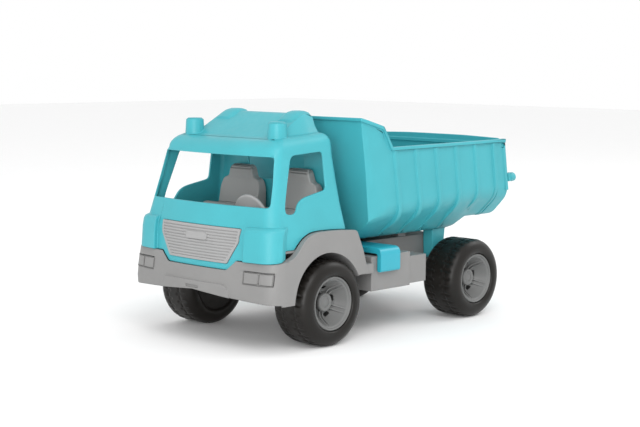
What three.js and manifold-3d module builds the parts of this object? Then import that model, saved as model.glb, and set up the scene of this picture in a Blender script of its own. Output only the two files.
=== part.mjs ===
// Push along tipper truck, a moulded plastic toy about 400 mm long.
// Millimetres. +X to the front, +Y to the truck's left, +Z up.
// The origin is on the ground, under the middle of the bounding box.
import * as THREE from 'three';
import { mergeVertices } from 'three/addons/utils/BufferGeometryUtils.js';
import Module from 'manifold-3d';

const wasm = await Module();
wasm.setup();

// ---------- driving dimensions ----------
const HALF_LENGTH = 199.5;
const WHEEL_RADIUS = 43;
const FRONT_AXLE_X = 108;
const REAR_AXLE_X = -122;
const TYRE_INNER = 61.4; // |y| of the tyre's inner face
const TYRE_OUTER = 108.4;
const AXLE_RADIUS = 3;
const AXLE_HALF_LENGTH = 93;
const GAP = 0.3; // between pieces that touch
const WALL = 2.4; // moulded wall

// cab
const BELT_Z = 139.4; // windscreen's lower edge
const CAB_REAR_X = 76;
const CAB_FRONT_X = 184.6; // front centre at the belt
const DECK_Z = 99; // top of the chassis deck that the cab stands on
const CAB_SKIRT_Z = 74; // lower edge of the cab's front, inside the bumper
const CAB_STEP_X = 166; // ahead of this the cab reaches down behind the bumper
const WINDOW_OUTLINE = [
  [99.2, 191], [100, 154], [133, 147.5], [141, 142.5], [145.5, 133], [158.8, 133], [158.5, 141],
  [143.6, 188.5],
];
const DEFLECTOR_TOP_Z = 228;
const BEACON = { x: 141, y: 60, bottomRadius: 10.8, topRadius: 9.4, topZ: 221 };

// dump bed, laid out upright and then leaned by BED_LEAN about the rail's height
const RAIL_Z = 192.6;
const BED_LEAN = 0.155; // forward travel for each mm of height
const BED_FRONT = 55;
const BED_REAR = -180;
const BED_HALF_WIDTH = 98.9;
const BED_FLOOR_Z = 94.3; // underside at rest
const PIVOT = { x: -115.7, z: 71, radius: 2.5 };
const LEG = { inner: 43.5, outer: 57, x0: -124.3, x1: -105 };
const RIB_STATIONS = [0, 1, 2, 3, 4, 5].map((i) => 10.5 - i * 33.6);
const TAILGATE_HINGE = { x: -176.6, z: 186.6, radius: 2.3 };

// tipping lever
const LEVER = { x0: 3.2, x1: 33.8, pinY: -64.5, pinZ: 87.6, bottom: 84, top: 90.4, outer: 103.2, drop: 66.5 };

// chassis
const ARCH = { x: 113, z: 46, radius: 47.5 }; // the opening in the fender
const FRAME_HALF_WIDTH = 42.4; // rear channel
const FRONT_FRAME_HALF_WIDTH = 55;
const FRAME_TOP = 88;
const BUMPER_TOP = 88;
const DECK_HALF_WIDTH = 96.4;
const SIDE_BOXES = [
  { x0: -20, x1: 41.3, outer: 96.8, bottom: 46, top: 81.8 },
  { x0: -48.2, x1: -19, outer: 95.2, bottom: 47.5, top: 76.5 },
];
const SCREWS = [
  [176, 62, 59, 77.6], [176, -62, 59, 77.6], [82, 86, 96.5, DECK_Z + GAP], [82, -86, 96.5, DECK_Z + GAP],
];

// seats and steering
const SEAT_Y = 41.3;
const SEAT_X = 85; // rear face of the seat backs
const STEERING = { x: 157.4, y: 41, z: 126.5, radius: 23.5, tilt: THREE.MathUtils.degToRad(12) };

// ---------- materials ----------
const material = (color, roughness, metalness) => new THREE.MeshStandardMaterial({ color, roughness, metalness });
const plastic = (color, roughness = 0.42) => material(color, roughness, 0);
const steel = () => material(0xb4b6b8, 0.35, 1);
const TURQUOISE = 0x5cc2cc;
const BRIGHT_BLUE = 0x1fb4cf;
const GREY = 0xa3a3a1;
const LIGHT_GREY = 0xb9bab9;
const HUB_GREY = 0x8c8f91;
const RUBBER = 0x26231f;

// ---------- solids ----------
function toSolid(geometry) {
  const bare = geometry.clone();
  bare.deleteAttribute('normal');
  bare.deleteAttribute('uv');
  const merged = mergeVertices(bare, 1e-4);
  return new wasm.Manifold(new wasm.Mesh({
    numProp: 3,
    vertProperties: new Float32Array(merged.attributes.position.array),
    triVerts: new Uint32Array(merged.index.array),
  }));
}

function toGeometry(solid) {
  const mesh = solid.getMesh();
  const geometry = new THREE.BufferGeometry();
  geometry.setAttribute('position', new THREE.BufferAttribute(new Float32Array(mesh.vertProperties), 3));
  geometry.setIndex(new THREE.BufferAttribute(new Uint32Array(mesh.triVerts), 1));
  geometry.computeVertexNormals();
  return geometry;
}

const join = (...solids) => solids.flat().reduce((whole, next) => whole.add(next));
const cut = (solid, ...tools) => tools.flat().reduce((whole, tool) => whole.subtract(tool), solid);

function box(x0, x1, y0, y1, z0, z1) {
  const geometry = new THREE.BoxGeometry(x1 - x0, y1 - y0, z1 - z0);
  return toSolid(geometry.translate((x0 + x1) / 2, (y0 + y1) / 2, (z0 + z1) / 2));
}

// the local axes (outline u, outline v, thickness) of a prism along each axis
const PRISM_AXES = {
  x: [[0, 1, 0], [0, 0, 1], [1, 0, 0]],
  y: [[1, 0, 0], [0, 0, 1], [0, -1, 0]],
  z: [[1, 0, 0], [0, 1, 0], [0, 0, 1]],
};

function alongAxis(geometry, axis) {
  const basis = PRISM_AXES[axis].map((v) => new THREE.Vector3(...v));
  return geometry.applyMatrix4(new THREE.Matrix4().makeBasis(...basis));
}

// a closed outline with its corners rounded
function outlineShape(points, radius) {
  const corners = points.map(([u, v]) => new THREE.Vector2(u, v));
  if (!radius) return new THREE.Shape(corners);
  const shape = new THREE.Shape();
  corners.forEach((corner, i) => {
    const toward = (other) => {
      const reach = Math.min(radius, corner.distanceTo(other) * 0.45);
      return corner.clone().add(other.clone().sub(corner).setLength(reach));
    };
    const start = toward(corners[(i + corners.length - 1) % corners.length]);
    const end = toward(corners[(i + 1) % corners.length]);
    if (i === 0) shape.moveTo(start.x, start.y);
    else shape.lineTo(start.x, start.y);
    shape.quadraticCurveTo(corner.x, corner.y, end.x, end.y);
  });
  shape.closePath();
  return shape;
}

// a prism of an outline: (y, z) along x, (x, z) along y, or (x, y) along z
function prism(points, axis, from, to, radius = 0) {
  const shape = outlineShape(points, radius);
  const settings = { depth: to - from, bevelEnabled: false, curveSegments: 3 };
  const geometry = new THREE.ExtrudeGeometry(shape, settings);
  geometry.translate(0, 0, axis === 'y' ? -to : from);
  return toSolid(alongAxis(geometry, axis));
}

function rod(axis, centre, radius, from, to, sides = 20, farRadius = radius) {
  const geometry = new THREE.CylinderGeometry(farRadius, radius, to - from, sides);
  geometry.rotateX(Math.PI / 2).translate(0, 0, (from + to) / 2);
  if (axis === 'x') geometry.rotateY(Math.PI / 2).translate(0, ...centre);
  if (axis === 'y') geometry.rotateX(-Math.PI / 2).translate(centre[0], 0, centre[1]);
  if (axis === 'z') geometry.translate(...centre, 0);
  return toSolid(geometry);
}

// a solid through a stack of convex rings that hold the same number of points
function loft(rings) {
  const count = rings[0].length;
  const index = [];
  for (let r = 0; r + 1 < rings.length; r += 1) {
    for (let i = 0; i < count; i += 1) {
      const next = (i + 1) % count;
      const [a, b] = [r * count + i, r * count + next];
      index.push(a, b, b + count, a, b + count, a + count);
    }
  }
  const top = (rings.length - 1) * count;
  for (let i = 1; i + 1 < count; i += 1) {
    index.push(0, i + 1, i, top, top + i, top + i + 1);
  }
  const geometry = new THREE.BufferGeometry();
  geometry.setAttribute('position', new THREE.Float32BufferAttribute(rings.flat(2), 3));
  geometry.setIndex(index);
  return toSolid(geometry);
}

// a body of revolution about the wheel axis: profile of [radius, y]
function turned(profile, segments = 28) {
  const points = profile.map(([radius, y]) => new THREE.Vector2(radius, y));
  points.push(points[0].clone());
  return toSolid(new THREE.LatheGeometry(points, segments));
}

// ---------- plan outlines that bow at the front ----------
function arc(centreX, centreY, radius, fromDegrees, toDegrees, steps) {
  return Array.from({ length: steps + 1 }, (_, i) => {
    const angle = THREE.MathUtils.degToRad(fromDegrees + ((toDegrees - fromDegrees) * i) / steps);
    return [centreX + radius * Math.cos(angle), centreY + radius * Math.sin(angle)];
  });
}

// counter-clockwise from above: right side, bowed front, left side, rear
function planRing({ front, rear, half, bow, corner, rearCorner, height }) {
  const bowed = (y) => front - bow * y * y;
  const shoulder = half - corner;
  const cornerX = bowed(half) - corner + (bowed(shoulder) - bowed(half));
  const frontRight = arc(cornerX, -shoulder, corner, -90, 0, 3);
  const across = [-0.66, -0.33, 0, 0.33, 0.66].map((t) => [bowed(t * shoulder), t * shoulder]);
  const frontLeft = arc(cornerX, shoulder, corner, 0, 90, 3);
  const rearLeft = arc(rear + rearCorner, half - rearCorner, rearCorner, 90, 180, 2);
  const rearRight = arc(rear + rearCorner, rearCorner - half, rearCorner, 180, 270, 2);
  const outline = [...frontRight, ...across, ...frontLeft, ...rearLeft, ...rearRight];
  return outline.map(([x, y]) => [x, y, height(x)]);
}

// ---------- cab ----------
// the cab's outer volume, grown outward or (negative) inward
function cabVolume(grow) {
  const level = (z) => () => z;
  const roof = (drop) => (x) => 207.5 - drop + grow - 0.00135 * Math.max(0, x - 90) ** 2;
  const ring = (front, rear, half, corner, height) => planRing({
    front: front + grow,
    rear: rear - grow,
    half: half + grow,
    bow: 0.0011,
    corner: Math.max(corner + grow, 1),
    rearCorner: Math.max(7 + grow, 1),
    height,
  });
  return loft([
    ring(193.2, CAB_REAR_X - 1, 97, 16, level(CAB_SKIRT_Z - (grow < 0 ? 20 : grow))),
    ring(191.4, CAB_REAR_X, 96.4, 15, level(112)),
    ring(CAB_FRONT_X, CAB_REAR_X + 2, 88.4, 13, level(BELT_Z)),
    ring(171.6, CAB_REAR_X + 6, 80.6, 11, level(187.7)),
    ring(169.6, CAB_REAR_X + 7, 79.4, 12, roof(11)),
    ring(165, CAB_REAR_X + 8.5, 76, 12, roof(4.5)),
    ring(156, CAB_REAR_X + 12, 69, 12, roof(0)),
  ]);
}

function deflectorVolume(grow) {
  const station = (x, baseHalf, baseZ, topHalf, topZ) => [
    [x, -baseHalf - grow, baseZ], [x, baseHalf + grow, baseZ],
    [x, topHalf + grow, topZ + grow], [x, -topHalf - grow, topZ + grow],
  ];
  return loft([
    station(88 - grow, 69, 190, 57, 224.5),
    station(99, 69, 190, 58, DEFLECTOR_TOP_Z - 1),
    station(112, 68, 190, 59, 221.5),
    station(135, 66, 190, 60, 209),
    station(154 + grow, 64, 190, 60, 198),
  ]);
}

function deflectorEar(side) {
  const outline = [[92, 220], [92, 228.5], [99.5, 230.5], [108, 227], [110, 220]];
  return prism(outline, 'y', side > 0 ? 35 : -56.5, side > 0 ? 56.5 : -35, 2);
}

// the raised air guide wrapped round each front corner, fading out below the windscreen
function cornerColumn(side) {
  const ring = (front, half, corner, z) => planRing({
    front, rear: 150, half, bow: 0.0011, corner, rearCorner: 2, height: () => z,
  });
  const wrap = loft([
    ring(198.6, 102.8, 21, BUMPER_TOP - 8),
    ring(197, 101.6, 20, 108),
    ring(189.4, 94, 15, 121.5),
  ]);
  const plan = [[176, 120], [176, 84], [184, 66], [215, 66], [215, 120]].map(([x, y]) => [x, side * y]);
  const column = wrap.intersect(prism(plan, 'z', BUMPER_TOP + GAP, 121.5));
  return cut(column, skirtVolume(-GAP));
}

const grilleOutline = (grow) => [
  [-57.5 - grow, 119 + grow], [-56 - grow, 106], [-42 - grow, 84.5 - grow],
  [42 + grow, 84.5 - grow], [56 + grow, 106], [57.5 + grow, 119 + grow],
];

function cabShell() {
  const beacons = [1, -1].map((side) => rod(
    'z', [BEACON.x, side * BEACON.y], BEACON.bottomRadius, 192, BEACON.topZ, 20, BEACON.topRadius,
  ));
  const ears = [1, -1].map(deflectorEar);
  const columns = [1, -1].map(cornerColumn);
  const outer = join(cabVolume(0), columns, deflectorVolume(0), beacons, ears);
  const inner = join(cabVolume(-WALL), deflectorVolume(-WALL));
  const windscreen = [[-84, BELT_Z + 0.6], [84, BELT_Z + 0.6], [77, 187.2], [-77, 187.2]];
  const rearWindow = [[-41, 157], [41, 157], [41, 189], [-41, 189]];
  const openings = [
    prism(windscreen, 'x', 150, 210, 5),
    prism(WINDOW_OUTLINE, 'y', -110, 110, 5),
    prism(rearWindow, 'x', 60, 100, 5),
    prism(grilleOutline(GAP), 'x', 170, 210),
    box(0, CAB_STEP_X, -120, 120, 40, DECK_Z + GAP),
  ];
  const shell = cut(outer, inner, openings);
  const bosses = SCREWS.map(([x, y, , seat]) => {
    const front = x > 150;
    const post = rod('z', [x, y], 4.6, seat + GAP, seat + 24, 16);
    const web = front
      ? box(x, 200, y - 1.2, y + 1.2, seat + 4, seat + 24)
      : box(60, x, y - 1.2, y + 1.2, seat + 4, seat + 24);
    return cut(join(post, web.intersect(cabVolume(-1))), rod('z', [x, y], 1.8, seat - 1, seat + 14, 12));
  });
  return join(shell, bosses);
}

function grille() {
  const plate = cut(cabVolume(0.8), cabVolume(-1.9)).intersect(prism(grilleOutline(0), 'x', 170, 210));
  const flange = cut(cabVolume(-1.6), cabVolume(-4.4));
  const seatRing = flange.intersect(prism(grilleOutline(0), 'x', 170, 210));
  const behindCab = cut(cabVolume(-WALL - GAP), cabVolume(-4.4));
  const lip = behindCab.intersect(prism(grilleOutline(2.5), 'x', 170, 210));
  return join(plate, seatRing, lip);
}

// ---------- interior ----------
function seat(side) {
  const y0 = side * SEAT_Y;
  const fromBack = (points) => points.map(([x, z]) => [SEAT_X + x, z]);
  const cushion = fromBack([[7, 101], [7, 127], [34, 131], [39, 128], [40, 101]]);
  const back = fromBack([[0, 101], [0, 157], [2, 158.5], [7.5, 158.5], [11, 122], [11, 101]]);
  const head = fromBack([[0.5, 155], [0.5, 169], [2.5, 171], [7.5, 171], [9.5, 168], [9, 155]]);
  const bolster = fromBack([[2, 124], [1.5, 153], [9, 154.5], [16, 131], [16, 124]]);
  return join(
    prism(cushion, 'y', y0 - 29, y0 + 29, 2),
    prism(back, 'y', y0 - 29, y0 + 29, 2),
    prism(head, 'y', y0 - 18, y0 + 18, 2),
    prism(bolster, 'y', y0 - 29, y0 - 22, 2),
    prism(bolster, 'y', y0 + 22, y0 + 29, 2),
  );
}

// the cushion is a hollow moulding, open underneath through the tray's floor
const underSeat = (side) => box(
  SEAT_X + 10, SEAT_X + 36, side * SEAT_Y - 25.5, side * SEAT_Y + 25.5, 98, 123,
);

// the steering axis runs down and forward from the driver's side of the rim
const steeringAxis = new THREE.Vector3(-Math.cos(STEERING.tilt), 0, Math.sin(STEERING.tilt));

function onSteeringAxis(geometry) {
  const turn = new THREE.Quaternion().setFromUnitVectors(new THREE.Vector3(0, 1, 0), steeringAxis);
  return toSolid(geometry.applyQuaternion(turn).translate(STEERING.x, STEERING.y, STEERING.z));
}

function interiorTray() {
  const floor = box(SEAT_X, 164, -80, 80, DECK_Z + GAP, DECK_Z + 2.8);
  const dashOutline = [[161, 101], [161, 122], [165, 127], [176, 129], [176, 124], [166.5, 121], [164, 101]];
  const dash = prism(dashOutline, 'y', -78, 78);
  const socket = onSteeringAxis(new THREE.CylinderGeometry(6.2, 6.2, 10, 16).translate(0, -11, 0));
  const bore = onSteeringAxis(new THREE.CylinderGeometry(3.3, 3.3, 30, 16).translate(0, -14, 0));
  return cut(join(floor, dash, socket, seat(1), seat(-1)), bore, underSeat(1), underSeat(-1));
}

function steeringWheel() {
  const radius = STEERING.radius;
  const profile = [
    [0, -16], [3, -16], [3, -3], [radius - 3.5, -1], [radius - 1, -1.6], [radius, 0],
    [radius, 1.4], [radius - 1.2, 2.6], [radius - 2.8, 2.2], [radius - 3.6, 1.2], [5, 0.6], [4, 2.4],
    [0, 2.6],
  ];
  const points = profile.map(([r, y]) => new THREE.Vector2(r, y));
  return onSteeringAxis(new THREE.LatheGeometry(points, 32));
}

// ---------- chassis ----------
function skirtVolume(inset) {
  const ring = (front, half, z) => planRing({
    front: front - inset,
    rear: 30,
    half: half - inset,
    bow: 0.00093,
    corner: 18 - inset,
    rearCorner: 2,
    height: () => z,
  });
  const body = loft([
    ring(198.5, 105.5, 40),
    ring(HALF_LENGTH, 106, 58),
    ring(198.4, 105.4, 70),
    ring(195.4, 104.6, 88),
    ring(192, 101.6, 120),
  ]);
  // seen from the side: bumper, step up over the wheel, slanted rear leg
  const side = [
    [52, 30], [55.7 + inset, 68.5], [62.8 + inset, 94], [72 + inset * 1.4, 112.7 - inset],
    [96, 114.4 - inset], [122, 114.9 - inset], [134.5, 113.3 - inset], [145 - inset, 107.5 - inset],
    [156 - inset, 96 - inset], [164, 91.6 - inset], [176, BUMPER_TOP - inset], [215, BUMPER_TOP - inset],
    [215, 30],
  ];
  const notch = [[-54.6, 92], [-54.2, 87.6], [-43.4, 78.3], [43.4, 78.3], [54.2, 87.6], [54.6, 92]];
  return cut(body.intersect(prism(side, 'y', -120, 120)), prism(notch, 'x', 150, 210, 3));
}

function wheelArch(side) {
  const [inner, outer] = [FRONT_FRAME_HALF_WIDTH + 3, 104];
  const [from, to] = side > 0 ? [inner, outer] : [-outer, -inner];
  const shoulder = outer - 8;
  const [shelfFrom, shelfTo] = side > 0 ? [inner, shoulder] : [-shoulder, -inner];
  const reach = 0.55 * ARCH.radius;
  const liner = join(
    rod('y', [ARCH.x, ARCH.z], ARCH.radius + WALL, from, to, 36),
    box(ARCH.x - reach, ARCH.x + reach, shelfFrom, shelfTo, ARCH.z + 0.8 * ARCH.radius, DECK_Z - 1),
  );
  return cut(
    liner,
    rod('y', [ARCH.x, ARCH.z], ARCH.radius, from - 5, to + 5, 36),
    box(0, 200, -120, 120, -60, 66),
  );
}

function sideBox({ x0, x1, outer, bottom, top }, side) {
  const shell = cut(
    box(x0, x1, FRAME_HALF_WIDTH - WALL, outer, bottom, top),
    box(x0 + WALL, x1 - WALL, FRAME_HALF_WIDTH, outer - WALL, bottom - 5, top - WALL),
  );
  return side > 0 ? shell : shell.mirror([0, 1, 0]);
}

function rearFrame() {
  const profile = (top, low) => [
    [57, 50 - low], [-103, 50 - low], [-112, 34 - low], [-132, 34 - low], [-140, 50 - low],
    [-160 + low / 10, 54 - low],
    [-160 + top, 75 - top], [-124 + top, 75 - top], [-124 + top, FRAME_TOP - top],
    [-8, FRAME_TOP - top], [-6 + top, 83.5 - top], [57, 83.5 - top],
  ];
  const outer = prism(profile(0, 0), 'y', -FRAME_HALF_WIDTH, FRAME_HALF_WIDTH);
  const inside = FRAME_HALF_WIDTH - WALL;
  const inner = prism(profile(WALL, 20), 'y', -inside, inside);
  const webs = [-84, -40].map((x) => box(x - 1.1, x + 1.1, -inside - 1, inside + 1, 52, 86));
  const restPads = [1, -1].map((side) => box(
    -78, -66, side > 0 ? 30 : -41, side > 0 ? 41 : -30, FRAME_TOP - 1, BED_FLOOR_Z - GAP,
  ));
  return join(cut(outer, inner), webs, restPads);
}

function leverLug(x0, x1) {
  const outline = [[-72, 79], [-70, 90], [-66, 92.2], [-63, 92.2], [-59, 90], [-57, 79]];
  return prism(outline, 'x', x0, x1, 1.5);
}

function chassis() {
  const half = FRONT_FRAME_HALF_WIDTH;
  const frontProfile = [
    [54, 50], [92, 50], [98, 34], [118, 34], [124, 50], [168, 50], [168, 98], [54, 98],
  ];
  const frontInside = [[56.5, 20], [165.6, 20], [165.6, 96.5], [56.5, 96.5]];
  const ledge = DECK_HALF_WIDTH + 2 * GAP;
  const skirt = cut(skirtVolume(0), skirtVolume(2.6), box(20, CAB_STEP_X, -ledge, ledge, 90, 130));
  const archHoles = [1, -1].map((side) => rod(
    'y', [ARCH.x, ARCH.z], ARCH.radius, side > 0 ? 62 : -125, side > 0 ? 125 : -62, 36,
  ));
  const underArch = box(56, FRONT_AXLE_X + 40, -125, 125, 20, 47.9);
  const nose = box(166, 193, -74, 74, 56.5, 59);
  const sides = [1, -1].flatMap((side) => SIDE_BOXES.map((sizes) => sideBox(sizes, side)));
  const frontScrews = SCREWS.filter(([x]) => x > 150);
  const pillars = frontScrews.map(([x, y, z, seat]) => rod('z', [x, y], 5.4, z - 1, seat, 16));
  let body = join(
    cut(skirt, archHoles, underArch, box(0, 60, -130, 130, 0, 66)),
    box(60.5, 168, -DECK_HALF_WIDTH, DECK_HALF_WIDTH, 96.5, DECK_Z),
    cut(prism(frontProfile, 'y', -half, half), prism(frontInside, 'y', -half + WALL, half - WALL)),
    nose, pillars, sides, [1, -1].map(wheelArch),
    box(41, 57, -58, 58, 50, 83.5), rearFrame(),
    leverLug(LEVER.x1 + 0.6, LEVER.x1 + 3.6), leverLug(LEVER.x0 - 3.6, LEVER.x0 - 0.6),
  );
  body = cut(
    body,
    cabVolume(GAP).intersect(box(CAB_STEP_X - 0.5, 220, -120, 120, CAB_SKIRT_Z - 1, 130)),
    cabVolume(GAP).intersect(box(40, CAB_STEP_X + 1, -120, 120, DECK_Z, 130)),
    box(43.5, 54.5, -39.5, 39.5, 30, 81),
    [FRONT_AXLE_X, REAR_AXLE_X].map((x) => rod('y', [x, WHEEL_RADIUS], AXLE_RADIUS + GAP, -60, 60, 20)),
    rod('y', [PIVOT.x, PIVOT.z], PIVOT.radius + GAP, -60, 60, 16),
    rod('x', [LEVER.pinY, LEVER.pinZ], 2 + GAP, -6, 44, 12),
    SCREWS.map(([x, y, z]) => rod('z', [x, y], 1.9, z - 8, 130, 12)),
    frontScrews.map(([x, y]) => rod('z', [x, y], 3.9, 50, 60.5, 12)),
  );
  return body;
}

// ---------- dump bed ----------
// one cross-section of the tub at an upright station; inset moves the walls inward
function bedRing(x, { half, knee, floorHalf, floor }, inset, top) {
  const side = [
    [half - inset, top],
    [half - inset * 1.02, knee + inset * 0.3],
    [floorHalf - inset * 0.4, floor + inset],
  ];
  const right = side.map(([y, z]) => [x, -y, z]);
  const left = side.map(([y, z]) => [x, y, z]).reverse();
  return [...right, ...left];
}

const BED_SECTIONS = [
  [BED_REAR, { half: 98.3, knee: 128, floorHalf: 70, floor: 106 }],
  [-136, { half: 98.6, knee: 126, floorHalf: 67, floor: 105.4 }],
  [-114, { half: BED_HALF_WIDTH, knee: 124.5, floorHalf: 62.4, floor: BED_FLOOR_Z }],
  [34, { half: BED_HALF_WIDTH, knee: 117, floorHalf: 62.4, floor: BED_FLOOR_Z }],
  [BED_FRONT, { half: 93.6, knee: 116, floorHalf: 60, floor: 97 }],
];

// lean an upright solid forward with height
function lean(solid) {
  return solid.transform([1, 0, 0, 0, 0, 1, 0, 0, BED_LEAN, 0, 1, 0, -BED_LEAN * RAIL_Z, 0, 0, 1]);
}

function bedTub(inset, top) {
  return loft(BED_SECTIONS.map(([x, section], i) => {
    const last = i === BED_SECTIONS.length - 1;
    const station = last ? x - inset : x - (i === 0 && inset > 0 ? 10 : 0);
    return bedRing(station, section, inset, top);
  }));
}

// a rib on the side wall, which turns in under the tub at the belly
function sideRib(x, side) {
  const [wide, slim] = [4.6, 3.2];
  const section = (y, z, proud, reach) => [
    [x - reach, side * (y - 4), z], [x - reach, side * (y + proud), z],
    [x + reach, side * (y + proud), z], [x + reach, side * (y - 4), z],
  ];
  const knee = 119 + 0.085 * (10.5 - x);
  const rings = [
    section(62, 98.5, 4, wide), section(98.2, knee, 2.2, wide), section(98.2, RAIL_Z - 2, 2.2, slim),
  ];
  return loft(side > 0 ? rings.map((ring) => [...ring].reverse()) : rings);
}

function bedProfile() {
  // seen from the side, upright: headboard, wing down to the rail, rail to the rear
  return [
    [BED_REAR - 1, 80], [BED_FRONT + 1, 80], [BED_FRONT + 1, 221.7], [26, 213.3],
    [14.6, RAIL_Z], [BED_REAR - 1, RAIL_Z],
  ];
}

function dumpBed() {
  const shell = cut(bedTub(0, 230), bedTub(WALL, 240));
  const ribs = [1, -1].flatMap((side) => RIB_STATIONS.map((x) => sideRib(x, side)));
  const rails = [1, -1].map((side) => {
    const [y0, y1] = side > 0 ? [96, 101.4] : [-101.4, -96];
    return box(BED_REAR + 0.2, 16, y0, y1, RAIL_Z - 4.2, RAIL_Z);
  });
  const trimmed = join(shell, ribs, rails).intersect(prism(bedProfile(), 'y', -120, 120));
  const upright = cut(trimmed, bedTub(WALL, 240));
  const legOutline = [
    [LEG.x0, 64], [LEG.x0 + 4, 61], [LEG.x1 - 6, 61], [LEG.x1 - 1.6, 64], [LEG.x1, 96.5], [LEG.x0 - 4, 96.5],
  ];
  const legs = [
    prism(legOutline, 'y', LEG.inner, LEG.outer),
    prism(legOutline, 'y', -LEG.outer, -LEG.inner),
  ];
  const hinge = TAILGATE_HINGE;
  return cut(
    join(lean(upright), legs),
    rod('y', [PIVOT.x, PIVOT.z], PIVOT.radius + GAP, -60, 60, 16),
    rod('y', [hinge.x, hinge.z], hinge.radius + GAP, -110, 110, 16),
  );
}

function tailgate() {
  const rear = BED_SECTIONS[0][1];
  const [half, clear] = [rear.half - WALL - 0.5, 0.6];
  const outline = [
    [-half, 190], [-half, rear.knee + 1.5], [-rear.floorHalf + 2, rear.floor + WALL + clear],
    [rear.floorHalf - 2, rear.floor + WALL + clear], [half, rear.knee + 1.5], [half, 190],
    [half - 3, 194.6], [40, 196.4], [-40, 196.4], [-half + 3, 194.6],
  ];
  const panel = prism(outline, 'x', BED_REAR + 0.4, BED_REAR + 3.4);
  const brow = box(BED_REAR + 0.4, BED_REAR + 5.6, -half + 1, half - 1, 186, 190);
  const lugs = [1, -1].map((side) => {
    const [from, to] = side > 0 ? [84, 100.5] : [-100.5, -84];
    const [clearFrom, clearTo] = side > 0 ? [95, 120] : [-120, -95];
    const tab = box(BED_REAR - 5, BED_REAR + 1, from, to, 146, 155);
    const knob = rod('x', [side * 97, 150.5], 5, BED_REAR - 12.2, BED_REAR - 4, 16);
    return cut(join(tab, knob), box(BED_REAR - 0.4, BED_REAR + 2, clearFrom, clearTo, 100, 200));
  });
  const panelAndLugs = lean(join(panel, brow, lugs));
  const hinge = TAILGATE_HINGE;
  const pegs = [1, -1].map((side) => rod(
    'y', [hinge.x, hinge.z], hinge.radius, side > 0 ? 90 : -98, side > 0 ? 98 : -90, 16,
  ));
  return join(panelAndLugs, pegs);
}

// ---------- tipping lever ----------
function tipLever() {
  const { x0, x1, pinY, pinZ, bottom, top, outer, drop } = LEVER;
  const inner = outer - 5.8;
  const outline = [
    [pinY, bottom], [inner - 1, bottom], [inner, bottom - 1], [inner, drop], [inner + 1.5, drop - 1],
    [outer - 1, drop - 1], [outer, drop + 1], [outer, top - 7], [outer - 2, top - 2.2], [outer - 7, top],
    [pinY, top],
  ];
  const eye = rod('x', [pinY, pinZ], 4.9, x0, x1, 20);
  const bar = prism(outline, 'x', x0, x1);
  const ridge = prism([[22, top - 1], [26, 93.4], [44, 93.4], [48, top - 1]], 'x', x0 + 5, x1 - 5);
  return cut(join(bar, eye, ridge), rod('x', [pinY, pinZ], 2 + GAP, x0 - 5, x1 + 5, 12));
}

// ---------- wheels ----------
const tyreProfile = [
  [24.9, 62.4], [31, TYRE_INNER], [38.6, 62.8], [43, 69], [43, 100], [41.5, 104.4], [38.3, 107.2],
  [31, TYRE_OUTER], [27.3, 106.6], [27.3, 102.4], [24.9, 102.4], [24.9, 98.5], [30, 98.5], [30, 104.4],
  [39, 101], [39, 68], [30, 65.4], [24.9, 65.4],
];

// a deep dish: the boss sits well behind the rim's lip, with a cone between them
const BOSS_FACE = 89.8;

function hubProfile(bossStart) {
  return [
    [AXLE_RADIUS + GAP, bossStart], [7.5, bossStart], [7.5, 86.4], [13.4, 86.4], [20.4, 98], [22, 98],
    [22, 64], [24.5, 64], [24.5, 102.7], [26.9, 102.7], [26.9, 105.6], [25.4, 106.4], [24.2, 104.4], [22.4, 103],
    [14.4, 88.6], [10.6, 88.6], [9.9, BOSS_FACE], [AXLE_RADIUS + GAP, BOSS_FACE],
  ];
}

const nutProfile = [
  [AXLE_RADIUS + 0.2, BOSS_FACE + 0.4], [6, BOSS_FACE + 0.4], [6, BOSS_FACE + 1.4], [4.4, BOSS_FACE + 2.6],
  [AXLE_RADIUS + 0.2, BOSS_FACE + 2.6],
];
const capProfile = [
  [0.001, BOSS_FACE + 6.6], [0.001, BOSS_FACE + 4.4], [7.2, BOSS_FACE + 4], [7.2, BOSS_FACE + GAP],
  [9.2, BOSS_FACE + GAP], [9.2, BOSS_FACE + 4.6], [7.6, BOSS_FACE + 6], [3.5, BOSS_FACE + 6.6],
];

// slots round the boss, between the spokes
function hubWindows() {
  return Array.from({ length: 5 }, (_, i) => {
    const window = box(11.8, 13.8, -2.8, 2.8, -1, 12);
    const turn = new THREE.Matrix4().makeRotationZ((i * 2 * Math.PI) / 5 - 0.46);
    const place = new THREE.Matrix4().makeRotationX(-Math.PI / 2).setPosition(0, 82, 0);
    return window.transform([...place.multiply(turn).elements]);
  });
}

// a turned piece for one wheel: mirrored on the right, then moved to its axle
function wheelPiece(solid, axleX, side) {
  const sided = side > 0 ? solid : solid.mirror([0, 1, 0]);
  return sided.translate([axleX, 0, WHEEL_RADIUS]);
}

// ---------- assembly ----------
const truck = new THREE.Group();
truck.name = 'push_along_truck';

function place(name, solid, material) {
  const mesh = new THREE.Mesh(toGeometry(solid), material);
  mesh.name = name;
  truck.add(mesh);
}

place('chassis', chassis(), plastic(GREY));
place('cab_shell', cabShell(), plastic(TURQUOISE));
place('grille', grille(), plastic(LIGHT_GREY));
place('interior_tray', interiorTray(), plastic(GREY));
place('steering_wheel', steeringWheel(), plastic(GREY));
place('dump_bed', dumpBed(), plastic(TURQUOISE));
place('tailgate', tailgate(), plastic(TURQUOISE));
place('tip_lever', tipLever(), plastic(BRIGHT_BLUE, 0.3));
place('lever_pin', rod('x', [LEVER.pinY, LEVER.pinZ], 2, LEVER.x0 - 4.4, LEVER.x1 + 4.4, 12), steel());
place('bed_pivot_rod', rod('y', [PIVOT.x, PIVOT.z], PIVOT.radius, -59.4, 59.4, 16), steel());

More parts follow.
